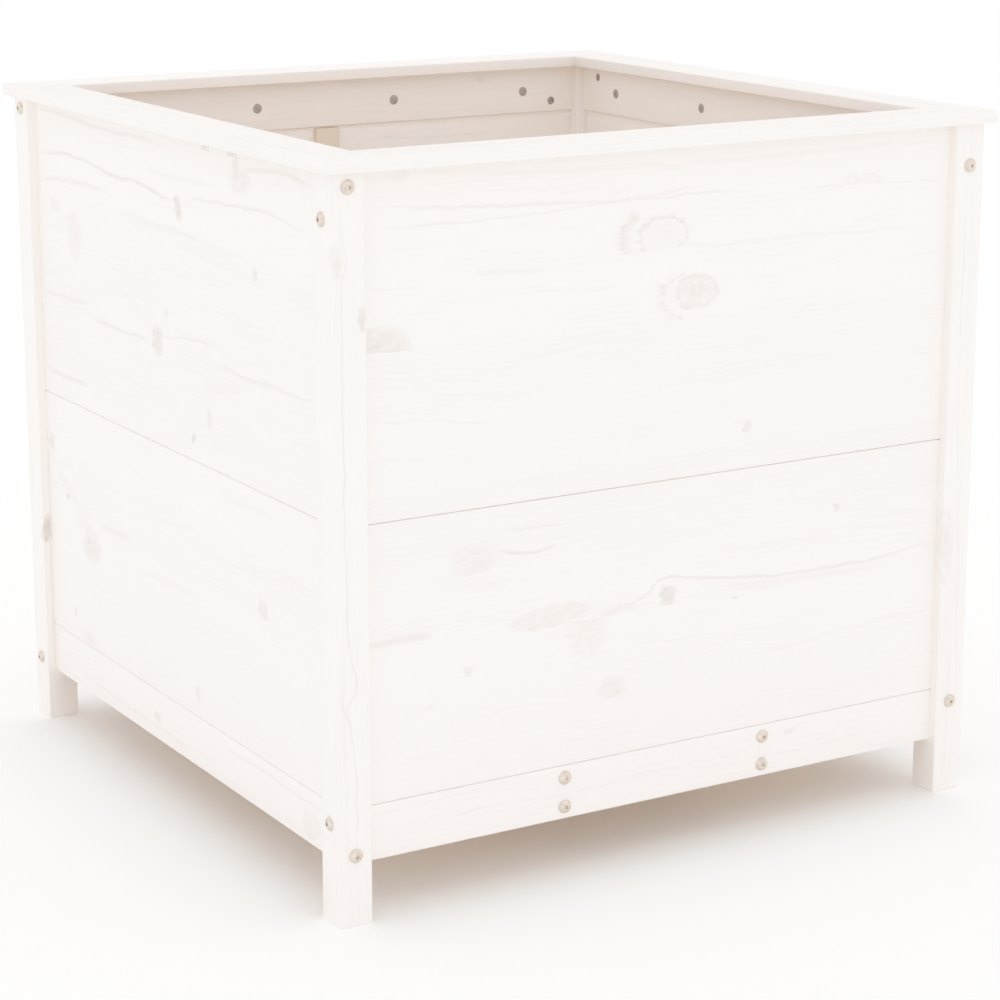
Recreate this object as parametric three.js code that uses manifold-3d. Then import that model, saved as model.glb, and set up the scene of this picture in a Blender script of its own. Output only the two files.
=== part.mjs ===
// Square box planter of painted pine, open at the top, on four corner posts.
// Each side is a bottom rail, two tongued boards and a top rail, set between grooved posts.
// Connector bolts run through the posts into cross nuts in the rails, and a mitred cap lies on top.
// Millimetres, +Z up. The origin is on the ground under the middle, and the front faces -Y.

import * as THREE from 'three';
import { mergeVertices } from 'three/addons/utils/BufferGeometryUtils.js';
import Module from 'manifold-3d';

// Overall
const overallWidth = 825; // across the cap, the same both ways
const overallHeight = 780;
const jointGap = 0.3; // left between two pieces that meet face to face

// Cap boards
const capOverhang = 10; // past the outer faces of the posts
const capWidth = 60;
const capThickness = 14;
const capEdgeRadius = 2;

// Corner posts
const postSize = 38;
const postEdgeRadius = 2;
const postEndChamfer = 1;

// Rails and boards
const footHeight = 62; // clear height under the bottom rails
const railHeight = 59;
const railThickness = 16;
const railEdgeChamfer = 1;
const boardThickness = 12;
const seamChamfer = 0.8; // on both edges of a seam that shows
const tongueThickness = 4;
const tongueHeight = 5;
const housingDepth = 6; // how far the board ends reach into the posts

// Connector bolts and their cross nuts
const boltDiameter = 6;
const boltClearance = 0.5; // all round, in its hole
const boltHeadDiameter = 15;
const boltHeadHeight = 3.2;
const boltHeadRim = 0.9; // straight edge under the dome
const boltHeadCrown = 8; // across the flatter middle of the dome
const boltTipLength = 4; // past the nut
const boltTipRelief = 2; // empty end of the bolt's hole
const boltSpread = 32; // between the upper and lower bolt level of a rail
const socketWidth = 4; // across the flats
const socketDepth = 3;
const nutDiameter = 10;
const nutLength = 12;
const nutInset = 33; // from the end of the wood to the nut's axis
const nutSlotWidth = 1.4;
const nutSlotDepth = 1.2;

// Fixing points of the cap: its dowels hang down into cam holes in the top rails
const camHoleDiameter = 12;
const camHoleDepth = 12.5;
const camHoleDrop = 31; // below the top of the rail
const camHoleCount = 4;
const camEndInset = 76; // from the rail's end to the first hole
const dowelDiameter = 6;
const dowelClearance = 0.5; // all round, in its hole

// Centre battens inside the boards
const battenWidth = 32;
const battenThickness = 8;
const battenTopGap = 2; // below the top rail
const battenEdgeChamfer = 1;

// Floor
const beamSpacing = 256;
const slatThickness = 12;
const slatCount = 6;
const slatGap = 12;
const slatEndGap = 1; // to the boards
const slatSideGap = 2; // to the line of the posts
const slatEdgeChamfer = 1;

// Facets round a circle
const headSides = 16;
const holeSides = 10;
const boreSides = 8;
const edgeSteps = 2; // in each quarter of a rounded edge
const cutPast = 1; // how far a cut runs past the wood

// Worked out from the sizes above
const frameWidth = overallWidth - 2 * capOverhang;
const frameFace = frameWidth / 2; // from the middle to the outer faces of the posts
const postHeight = overallHeight - capThickness - jointGap;
const clearWidth = frameWidth - 2 * postSize; // between two posts
const barLength = clearWidth - 2 * jointGap;
const railInset = (postSize - railThickness) / 2; // rails run through the middle of the posts
const boardHeight = (postHeight - footHeight - 2 * railHeight) / 2 - jointGap;
const lowerBoardBottom = footHeight + railHeight + jointGap;
const upperBoardBottom = lowerBoardBottom + boardHeight + jointGap;
const topRailBottom = upperBoardBottom + boardHeight + jointGap;
const topRailHeight = postHeight - topRailBottom;
const tongueMiddle = boardThickness / 2; // from the outer face

// Bolt levels of a side's own rails, at its left and its right end seen from outside: nearer
// the middle of the side at the left and further out at the right, so that bolts cross in a post.
const bottomRailMiddle = footHeight + railHeight / 2;
const topRailMiddle = topRailBottom + railHeight / 2;
const bottomBoltLevels = [bottomRailMiddle + boltSpread / 2, bottomRailMiddle - boltSpread / 2];
const topBoltLevels = [topRailMiddle - boltSpread / 2, topRailMiddle + boltSpread / 2];

const nutReach = nutInset + nutDiameter / 2 + boltTipLength;
const boltHoleDiameter = boltDiameter + 2 * boltClearance;
const nutHoleDiameter = nutDiameter + 2 * jointGap;
const dowelHoleDiameter = dowelDiameter + 2 * dowelClearance;
const outerFace = -frameFace + railInset; // of the front side's rails and boards
const railMiddle = outerFace + railThickness / 2;
const railInner = outerFace + railThickness;
const floorLevel = footHeight + railHeight + jointGap;
const floorTop = floorLevel + slatThickness;

const sideNames = ['front', 'right', 'back', 'left'];
const postNames = ['post_front_left', 'post_front_right', 'post_back_right', 'post_back_left'];
const quarterTurn = Math.PI / 2;

const wasm = await Module();
wasm.setup();

// Solids and meshes

function solidOf(geometry) {
  geometry.deleteAttribute('normal');
  geometry.deleteAttribute('uv');
  const merged = mergeVertices(geometry, 1e-4);
  const corners = Array.from(merged.index.array);
  const triangles = [];
  for (let i = 0; i < corners.length; i += 3) {
    const [a, b, c] = corners.slice(i, i + 3);
    if (a !== b && b !== c && c !== a) triangles.push(a, b, c);
  }
  return new wasm.Manifold(new wasm.Mesh({
    numProp: 3,
    vertProperties: new Float32Array(merged.attributes.position.array),
    triVerts: new Uint32Array(triangles),
  }));
}

function geometryOf(solid) {
  const mesh = solid.getMesh();
  const indexed = new THREE.BufferGeometry();
  indexed.setAttribute('position', new THREE.BufferAttribute(mesh.vertProperties, 3));
  indexed.setIndex(new THREE.BufferAttribute(mesh.triVerts, 1));
  const faceted = indexed.toNonIndexed();
  faceted.computeVertexNormals();
  return faceted;
}

function paintedPine(color) {
  return new THREE.MeshStandardMaterial({ color, roughness: 0.62, metalness: 0 });
}

function zincPlate() {
  return new THREE.MeshStandardMaterial({ color: '#cdc4b8', roughness: 0.45, metalness: 0.7 });
}

function named(name, solid, material) {
  const mesh = new THREE.Mesh(geometryOf(solid), material);
  mesh.name = name;
  return mesh;
}

// Forms

function roundedRectangle(low, high, radius) {
  const shape = new THREE.Shape();
  shape.absarc(high.x - radius, high.y - radius, radius, 0, quarterTurn);
  shape.absarc(low.x + radius, high.y - radius, radius, quarterTurn, 2 * quarterTurn);
  shape.absarc(low.x + radius, low.y + radius, radius, 2 * quarterTurn, 3 * quarterTurn);
  shape.absarc(high.x - radius, low.y + radius, radius, 3 * quarterTurn, 4 * quarterTurn);
  return shape;
}

function chamferedRectangle(low, high, chamfer) {
  return new THREE.Shape([
    new THREE.Vector2(low.x + chamfer, low.y),
    new THREE.Vector2(high.x - chamfer, low.y),
    new THREE.Vector2(high.x, low.y + chamfer),
    new THREE.Vector2(high.x, high.y - chamfer),
    new THREE.Vector2(high.x - chamfer, high.y),
    new THREE.Vector2(low.x + chamfer, high.y),
    new THREE.Vector2(low.x, high.y - chamfer),
    new THREE.Vector2(low.x, low.y + chamfer),
  ]);
}

// A bar along X with the given section, whose x and y become Y and Z.
function barAlongX(section, length) {
  const geometry = new THREE.ExtrudeGeometry(section, {
    depth: length,
    bevelEnabled: false,
    curveSegments: edgeSteps,
  });
  geometry.translate(0, 0, -length / 2);
  const axes = [new THREE.Vector3(0, 1, 0), new THREE.Vector3(0, 0, 1), new THREE.Vector3(1, 0, 0)];
  geometry.applyMatrix4(new THREE.Matrix4().makeBasis(...axes));
  return solidOf(geometry);
}

function block(low, high) {
  const size = high.clone().sub(low);
  const geometry = new THREE.BoxGeometry(size.x, size.y, size.z);
  const middle = low.clone().add(high).multiplyScalar(0.5);
  geometry.translate(middle.x, middle.y, middle.z);
  return solidOf(geometry);
}

// A round rod from one point along an axis, given by a unit vector.
function rod(diameter, start, direction, length, sides) {
  const geometry = new THREE.CylinderGeometry(diameter / 2, diameter / 2, length, sides);
  geometry.translate(0, length / 2, 0);
  const turn = new THREE.Quaternion().setFromUnitVectors(new THREE.Vector3(0, 1, 0), direction);
  geometry.applyQuaternion(turn);
  geometry.translate(start.x, start.y, start.z);
  return solidOf(geometry);
}

const alongX = new THREE.Vector3(1, 0, 0);
const alongY = new THREE.Vector3(0, 1, 0);
const alongZ = new THREE.Vector3(0, 0, 1);

// Section of a board or rail, from its outer face inwards and from its lower edge up,
// with a groove below and a tongue above that line up with those of its neighbours.
function joinedSection({ thickness, height, groove, tongue, outerBelow, outerAbove, inner }) {
  const grooveReach = tongueThickness / 2 + jointGap;
  const grooveTop = tongueHeight + jointGap;
  const tongueReach = tongueThickness / 2;
  const outline = [[outerBelow, 0]];
  if (groove) {
    outline.push([tongueMiddle - grooveReach, 0], [tongueMiddle - grooveReach, grooveTop]);
    outline.push([tongueMiddle + grooveReach, grooveTop], [tongueMiddle + grooveReach, 0]);
  }
  outline.push([thickness - inner, 0], [thickness, inner]);
  outline.push([thickness, height - inner], [thickness - inner, height]);
  if (tongue) {
    outline.push([tongueMiddle + tongueReach, height], [tongueMiddle + tongueReach, height + tongueHeight]);
    outline.push([tongueMiddle - tongueReach, height + tongueHeight], [tongueMiddle - tongueReach, height]);
  }
  outline.push([outerAbove, height]);
  if (outerAbove > 0) outline.push([0, height - outerAbove]);
  if (outerBelow > 0) outline.push([0, outerBelow]);
  return new THREE.Shape(outline.map(([x, y]) => new THREE.Vector2(x, y)));
}

// Connector bolt along +X, its head outside x = 0 and its cross nut along Y.
// The bolt and the nut screwed onto it are one solid.
function connectorBolt(grip) {
  const headRadius = boltHeadDiameter / 2;
  const headTop = -jointGap - boltHeadHeight;
  const profile = [
    new THREE.Vector2(0, headTop),
    new THREE.Vector2(boltHeadCrown / 2, headTop),
    new THREE.Vector2(headRadius, -jointGap - boltHeadRim),
    new THREE.Vector2(headRadius, -jointGap),
    new THREE.Vector2(0, -jointGap),
  ];
  const head = new THREE.LatheGeometry(profile, headSides);
  head.rotateZ(-quarterTurn);

  const inHead = new THREE.Vector3(-jointGap - boltHeadHeight / 2, 0, 0);
  const shank = rod(boltDiameter, inHead, alongX, grip + nutReach - inHead.x, boreSides);
  const nutStart = new THREE.Vector3(grip + nutInset, -nutLength / 2, 0);
  const nut = rod(nutDiameter, nutStart, alongY, nutLength, holeSides);

  const hexDiameter = socketWidth / Math.cos(Math.PI / 6);
  const aboveHead = new THREE.Vector3(headTop - cutPast, 0, 0);
  const socket = rod(hexDiameter, aboveHead, alongX, socketDepth + cutPast, 6);
  const slot = block(
    new THREE.Vector3(nutStart.x - nutDiameter, nutLength / 2 - nutSlotDepth, -nutSlotWidth / 2),
    new THREE.Vector3(nutStart.x + nutDiameter, nutLength, nutSlotWidth / 2),
  );
  return solidOf(head).add(shank).add(nut).subtract(socket).subtract(slot);
}

// Takes the hole of a bolt and the hole of its nut out of one end of a bar along X.
// The end is given by its x, and the bolt runs in the bar's middle plane.
function drillEnd(bar, endX, middle, inner, level) {
  const inwards = alongX.clone().multiplyScalar(-Math.sign(endX));
  const outside = new THREE.Vector3(endX, middle, level).addScaledVector(inwards, -cutPast);
  const boreDepth = nutReach + boltTipRelief;
  const bore = rod(boltHoleDiameter, outside, inwards, boreDepth + cutPast, boreSides);

  const nutX = endX + inwards.x * nutInset;
  const nutFloor = new THREE.Vector3(nutX, middle - nutLength / 2 - jointGap, level);
  const nutHoleDepth = inner - nutFloor.y;
  const nutHole = rod(nutHoleDiameter, nutFloor, alongY, nutHoleDepth + cutPast, holeSides);
  return bar.subtract(bore).subtract(nutHole);
}

// Corner post at the front left, standing on the origin of its own frame.
function cornerPost() {
  const half = postSize / 2;
  const corner = new THREE.Vector2(half, half);
  const section = roundedRectangle(corner.clone().negate(), corner, postEdgeRadius);
  const geometry = new THREE.ExtrudeGeometry(section, {
    depth: postHeight - 2 * postEndChamfer,
    bevelEnabled: true,
    bevelThickness: postEndChamfer,
    bevelSize: postEndChamfer,
    bevelOffset: -postEndChamfer,
    bevelSegments: 1,
    curveSegments: edgeSteps,
  });
  geometry.translate(0, 0, postEndChamfer);
  let post = solidOf(geometry);

  // Stopped grooves that house the board ends of both sides.
  const grooveLow = railInset - jointGap - half;
  const grooveHigh = railInset + boardThickness + jointGap - half;
  const grooveFloor = half - housingDepth;
  const bottom = lowerBoardBottom - jointGap;
  const top = topRailBottom + tongueHeight;
  post = post.subtract(block(
    new THREE.Vector3(grooveFloor, grooveLow, bottom),
    new THREE.Vector3(half + cutPast, grooveHigh, top),
  ));
  post = post.subtract(block(
    new THREE.Vector3(grooveLow, grooveFloor, bottom),
    new THREE.Vector3(grooveHigh, half + cutPast, top),
  ));

  // Through holes: across for the front rails, and front to back for the left rails.
  const outside = -half - cutPast;
  const holeLength = postSize + 2 * cutPast;
  for (const level of [bottomBoltLevels[0], topBoltLevels[0]]) {
    const start = new THREE.Vector3(outside, 0, level);
    post = post.subtract(rod(boltHoleDiameter, start, alongX, holeLength, boreSides));
  }
  for (const level of [bottomBoltLevels[1], topBoltLevels[1]]) {
    const start = new THREE.Vector3(0, outside, level);
    post = post.subtract(rod(boltHoleDiameter, start, alongY, holeLength, boreSides));
  }
  return post;
}

// Pieces of one side, built as the front side.

function drillRail(rail, [leftLevel, rightLevel]) {
  const drilled = drillEnd(rail, -barLength / 2, railMiddle, railInner, leftLevel);
  return drillEnd(drilled, barLength / 2, railMiddle, railInner, rightLevel);
}

function bottomRail(carriesBeams) {
  const section = joinedSection({
    thickness: railThickness,
    height: railHeight,
    groove: false,
    tongue: true,
    outerBelow: railEdgeChamfer,
    outerAbove: seamChamfer,
    inner: railEdgeChamfer,
  });
  const bar = barAlongX(section, barLength).translate([0, outerFace, footHeight]);
  let rail = drillRail(bar, bottomBoltLevels);
  if (carriesBeams) {
    for (const x of [-beamSpacing / 2, beamSpacing / 2]) {
      for (const level of bottomBoltLevels) {
        const start = new THREE.Vector3(x, outerFace - cutPast, level);
        rail = rail.subtract(rod(boltHoleDiameter, start, alongY, railThickness + 2 * cutPast, boreSides));
      }
    }
  }
  return rail;
}

function board(bottom, outerAbove) {
  const section = joinedSection({
    thickness: boardThickness,
    height: boardHeight,
    groove: true,
    tongue: true,
    outerBelow: seamChamfer,
    outerAbove,
    inner: seamChamfer,
  });
  const length = clearWidth + 2 * (housingDepth - jointGap);
  return barAlongX(section, length).translate([0, outerFace, bottom]);
}

function camPositions() {
  const first = -barLength / 2 + camEndInset;
  const pitch = (barLength - 2 * camEndInset) / (camHoleCount - 1);
  return Array.from({ length: camHoleCount }, (unused, index) => first + index * pitch);
}

function topRail() {
  const section = joinedSection({
    thickness: railThickness,
    height: topRailHeight,
    groove: true,
    tongue: false,
    outerBelow: 0,
    outerAbove: railEdgeChamfer,
    inner: railEdgeChamfer,
  });
  const bar = barAlongX(section, barLength).translate([0, outerFace, topRailBottom]);
  let rail = drillRail(bar, topBoltLevels);
  for (const x of camPositions()) {
    const camStart = new THREE.Vector3(x, railInner - camHoleDepth, postHeight - camHoleDrop);
    const camHole = rod(camHoleDiameter, camStart, alongY, camHoleDepth + cutPast, headSides);
    const dowelStart = new THREE.Vector3(x, railMiddle, camStart.z);
    const dowelHole = rod(dowelHoleDiameter, dowelStart, alongZ, camHoleDrop + cutPast, boreSides);
    rail = rail.subtract(camHole).subtract(dowelHole);
  }
  return rail;
}

// Cap board with its dowels, which end in the middle of the cam holes.
function capBoard() {
  const outer = -overallWidth / 2;
  const inner = outer + capWidth;
  const bottom = postHeight + jointGap;
  const low = new THREE.Vector2(outer, bottom);
  const high = new THREE.Vector2(inner, overallHeight);
  const bar = barAlongX(roundedRectangle(low, high, capEdgeRadius), overallWidth);

  // Plan outline with a mitre at each end, half a gap short of the corner's diagonal.
  const mitreShift = (jointGap / 2) * Math.SQRT2;
  const plan = new THREE.Shape([
    new THREE.Vector2(outer + mitreShift, outer),
    new THREE.Vector2(-outer - mitreShift, outer),
    new THREE.Vector2(-inner - mitreShift, inner),
    new THREE.Vector2(inner + mitreShift, inner),
  ]);
  const depth = capThickness + 2 * cutPast;
  const prism = new THREE.ExtrudeGeometry(plan, { depth, bevelEnabled: false });
  prism.translate(0, 0, bottom - cutPast);
  let cap = bar.intersect(solidOf(prism));

  const dowelFoot = postHeight - camHoleDrop;
  const dowelLength = bottom + capThickness / 2 - dowelFoot;
  for (const x of camPositions()) {
    const start = new THREE.Vector3(x, railMiddle, dowelFoot);
    cap = cap.add(rod(dowelDiameter, start, alongZ, dowelLength, boreSides));
  }
  return cap;
}

function centreBatten() {
  const face = outerFace + boardThickness + jointGap;
  const low = new THREE.Vector2(face, floorTop + jointGap);
  const high = new THREE.Vector2(face + battenThickness, topRailBottom - battenTopGap);
  return barAlongX(chamferedRectangle(low, high, battenEdgeChamfer), battenWidth);
}

// The two bolts that hold a bar's ends, through pieces as thick as the grip.
function endBolts(names, endX, middle, levels, grip) {
  const left = named(names[0], connectorBolt(grip), zincPlate());
  left.position.set(-endX, middle, levels[0]);
  const right = named(names[1], connectorBolt(grip), zincPlate());
  right.position.set(endX, middle, levels[1]);
  right.rotation.y = Math.PI;
  return [left, right];
}

function side(name, carriesBeams) {
  const group = new THREE.Group();
  group.add(named(`${name}_bottom_rail`, bottomRail(carriesBeams), paintedPine('#f8f4ef')));
  group.add(named(`${name}_lower_board`, board(lowerBoardBottom, seamChamfer), paintedPine('#f9f5f0')));
  group.add(named(`${name}_upper_board`, board(upperBoardBottom, 0), paintedPine('#f9f5f0')));
  group.add(named(`${name}_top_rail`, topRail(), paintedPine('#f8f4ef')));
  group.add(named(`${name}_cap_board`, capBoard(), paintedPine('#faf7f2')));
  group.add(named(`${name}_centre_batten`, centreBatten(), paintedPine('#efe4d8')));
  for (const [rail, levels] of [['bottom', bottomBoltLevels], ['top', topBoltLevels]]) {
    const names = [`${name}_${rail}_bolt_left`, `${name}_${rail}_bolt_right`];
    group.add(...endBolts(names, frameFace, railMiddle, levels, postSize + jointGap));
  }
  return group;
}

// Floor beam along X, which a quarter turn sets front to back between the bottom rails.
function floorBeam(name) {
  const group = new THREE.Group();
  const half = railThickness / 2;
  const beamEnd = -railInner - jointGap;
  const low = new THREE.Vector2(-half, footHeight);
  const high = new THREE.Vector2(half, footHeight + railHeight);
  let beam = barAlongX(chamferedRectangle(low, high, railEdgeChamfer), 2 * beamEnd);
  for (const level of bottomBoltLevels) {
    beam = drillEnd(beam, -beamEnd, 0, half, level);
    beam = drillEnd(beam, beamEnd, 0, half, level);
  }
  group.add(named(name, beam, paintedPine('#efe6da')));
  for (const [row, level] of [['upper', bottomBoltLevels[0]], ['lower', bottomBoltLevels[1]]]) {
    const names = [`${name}_bolt_front_${row}`, `${name}_bolt_back_${row}`];
    group.add(...endBolts(names, -outerFace, 0, [level, level], railThickness + jointGap));
  }
  return group;
}

const slatDepth = (clearWidth - 2 * slatSideGap - (slatCount - 1) * slatGap) / slatCount;
const slatLength = 2 * (-outerFace - boardThickness - slatEndGap);

function floorSlat() {
  const low = new THREE.Vector2(-slatDepth / 2, floorLevel);
  const high = new THREE.Vector2(slatDepth / 2, floorTop);
  return barAlongX(chamferedRectangle(low, high, slatEdgeChamfer), slatLength);
}

// Assembly

const planter = new THREE.Group();

postNames.forEach((name, index) => {
  const corner = new THREE.Group();
  const post = named(name, cornerPost(), paintedPine('#faf6f1'));
  post.position.set(-frameFace + postSize / 2, -frameFace + postSize / 2, 0);
  corner.add(post);
  corner.rotation.z = index * quarterTurn;
  planter.add(corner);
});

sideNames.forEach((name, index) => {
  const carriesBeams = name === 'front' || name === 'back';
  const group = side(name, carriesBeams);
  group.rotation.z = index * quarterTurn;
  planter.add(group);
});

for (const [name, x] of [['floor_beam_left', -beamSpacing / 2], ['floor_beam_right', beamSpacing / 2]]) {
  const beam = floorBeam(name);
  beam.position.x = x;
  beam.rotation.z = quarterTurn;
  planter.add(beam);
}

for (let index = 0; index < slatCount; index += 1) {
  const slat = named(`floor_slat_${index + 1}`, floorSlat(), paintedPine('#efe6da'));
  slat.position.y = (index - (slatCount - 1) / 2) * (slatDepth + slatGap);
  planter.add(slat);
}

export default planter;
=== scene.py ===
import math
import random

import bmesh
import bpy
from mathutils import Matrix, Vector


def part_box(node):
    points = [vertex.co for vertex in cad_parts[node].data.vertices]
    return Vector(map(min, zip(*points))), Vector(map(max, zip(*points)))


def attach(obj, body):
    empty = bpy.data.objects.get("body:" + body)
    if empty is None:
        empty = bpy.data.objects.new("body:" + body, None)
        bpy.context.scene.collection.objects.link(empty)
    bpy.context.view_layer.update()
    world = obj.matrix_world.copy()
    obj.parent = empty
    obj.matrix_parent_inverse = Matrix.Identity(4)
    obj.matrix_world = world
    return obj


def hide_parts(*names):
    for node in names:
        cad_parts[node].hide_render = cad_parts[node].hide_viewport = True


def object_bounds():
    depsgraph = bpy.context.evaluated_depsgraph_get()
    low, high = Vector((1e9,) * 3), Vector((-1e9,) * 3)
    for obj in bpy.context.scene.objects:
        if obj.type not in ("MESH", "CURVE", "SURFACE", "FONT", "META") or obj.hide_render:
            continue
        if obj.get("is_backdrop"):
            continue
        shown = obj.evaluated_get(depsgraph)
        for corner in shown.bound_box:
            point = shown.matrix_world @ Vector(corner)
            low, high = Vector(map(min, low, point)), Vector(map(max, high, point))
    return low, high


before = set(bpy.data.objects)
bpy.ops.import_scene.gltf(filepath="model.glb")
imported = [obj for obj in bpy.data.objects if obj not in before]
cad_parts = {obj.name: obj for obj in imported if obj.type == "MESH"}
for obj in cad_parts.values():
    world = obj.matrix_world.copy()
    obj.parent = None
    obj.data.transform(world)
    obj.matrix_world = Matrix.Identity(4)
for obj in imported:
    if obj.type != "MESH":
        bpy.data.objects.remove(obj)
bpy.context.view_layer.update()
mm = 0.001
sideNames = ('front', 'right', 'back', 'left')
postNames = ('post_front_left', 'post_front_right', 'post_back_right', 'post_back_left')
print('frame loaded:', len(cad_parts), 'pieces')


def linearColour(hexCode):
    values = [int(hexCode[place:place + 2], 16) / 255 for place in (1, 3, 5)]
    return tuple(v / 12.92 if v <= 0.04045 else ((v + 0.055) / 1.055) ** 2.4 for v in values) + (1.0,)


# Adds a node. An input given as a node takes that node's first output.
def addNode(tree, kind, settings=None, inputs=None):
    node = tree.nodes.new(kind)
    for setting, value in (settings or {}).items():
        setattr(node, setting, value)
    for name, value in (inputs or {}).items():
        if isinstance(value, bpy.types.Node):
            value = next(output for output in value.outputs if output.enabled)
        if isinstance(value, bpy.types.NodeSocket):
            tree.links.new(value, node.inputs[name])
        else:
            node.inputs[name].default_value = value
    return node


def newMaterial(name):
    material = bpy.data.materials.new(name)
    material.use_nodes = True
    material.node_tree.nodes.clear()
    return material


# Wood. Every pattern is worked out in millimetres: u runs along the grain, w into the piece
# and v across it, so that the growth rings are one solid figure on all of its faces.

pineLook = {
    'paint': '#FCF8F5',  # warm white
    'showThrough': '#D7CAC2',  # what a knot would be under very little paint
    'ringWidth': 5.2,  # real rings are 2 to 4 mm; a little coarser, so that they show
    'ringFaint': 0.006,  # late wood where the paint is thick
    'ringStrength': 0.042,  # late wood where it is thin
    'fibreStrength': 0.032,
    'blotchStrength': 0.015,
    'stripTone': 0.04,
    'plainStrip': 0.35,  # the share at which a strip has the plain tone
    'knotMottle': 0.65,
    'thinPaint': (-0.12, 0.4),  # patch noise from thick paint to thin
    'ringTones': ((0.3, 0.0), (0.82, 1.0), (1.0, 0.0)),  # across one year's ring
    'bendRange': (0.7, 3.2),  # how far a knot bends the rings, in its own radii
    'fibreHeight': 0.3,
    'ior': 1.47,
    'roughness': 0.52,
    'roughnessRange': 0.07,
    'bumpHeight': 0.25 * mm,
    # Sizes of the patterns, in millimetres along, into and across the wood
    'wobbleSize': (70, 60, 28),
    'wobbleReach': (4.0, 0.0, 3.2),
    'mottleSize': (11, 9, 6),
    'raggedReach': (5.0, 0.0, 3.0),
    'patchSize': (190, 60, 26),
    'fibreSize': (120, 3.2, 3.2),  # real fibres are far finer; drawn as coarse as they need to show
    'pithAside': 70.0,  # the pith lies up to this far to the side of its strip
    'pithBehind': (9.0, 46.0),  # least depth behind the face, and how much deeper it may be
    'pithWander': 34.0,
    'wanderLength': 420.0,
    'treeStep': 7.3,  # so that no two strips wander alike
    'knotReach': 400.0,  # a knot goes right through its board
    'streakFade': 0.16,  # share of a dark line over which its ends fade
    'streakCore': 0.28,  # share of its width that is fully dark
}

# Tone of a knot from its middle (0) to just outside its edge (1), times the knot's strength.
knotTones = {
    'sound': ((0.0, 0.9), (0.45, 0.6), (0.68, 0.65), (0.8, 1.0), (0.9, 0.3), (1.0, 0.0)),
    'ring': ((0.0, 0.3), (0.55, 0.22), (0.7, 0.3), (0.79, 1.0), (0.88, 0.25), (1.0, 0.0)),
    'arc': ((0.0, 0.0), (0.66, 0.0), (0.78, 1.0), (0.88, 0.3), (1.0, 0.0)),
    'solid': ((0.0, 1.0), (0.6, 0.85), (0.8, 0.6), (1.0, 0.0)),
    'pale': ((0.0, 0.55), (0.6, 0.5), (0.78, 0.7), (0.9, 0.25), (1.0, 0.0)),
    'smudge': ((0.0, 0.9), (0.4, 0.8), (0.72, 0.5), (1.0, 0.0)),
}
knotMargin = 1.22  # how far the tones reach past a knot's own radius


def curveThrough(node, points, handle):
    mapping = node.mapping
    mapping.use_clip = False
    mapping.extend = 'HORIZONTAL'
    curve = mapping.curves[0]
    while len(curve.points) < len(points):
        curve.points.new(*points[len(curve.points)])
    for point, (x, y) in zip(curve.points, points):
        point.location = (x, y)
        point.handle_type = handle
    mapping.update()


def rampThrough(node, stops, strength=1.0):
    elements = node.color_ramp.elements
    while len(elements) < len(stops):
        elements.new(0.5)
    for element, (position, value) in zip(elements, stops):
        element.position = position
        element.color = (value * strength,) * 3 + (1.0,)


# Noise whose spots have the given sizes in millimetres along, into and across the wood.
def woodNoise(tree, place, sizes, detail, roughness=0.5):
    spread = addNode(tree, 'ShaderNodeVectorMath', {'operation': 'MULTIPLY'}, {
        0: place, 1: tuple(1 / size for size in sizes)})
    return addNode(tree, 'ShaderNodeTexNoise', {'normalize': False}, {
        'Vector': spread, 'Scale': 1.0, 'Detail': detail, 'Roughness': roughness})


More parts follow.
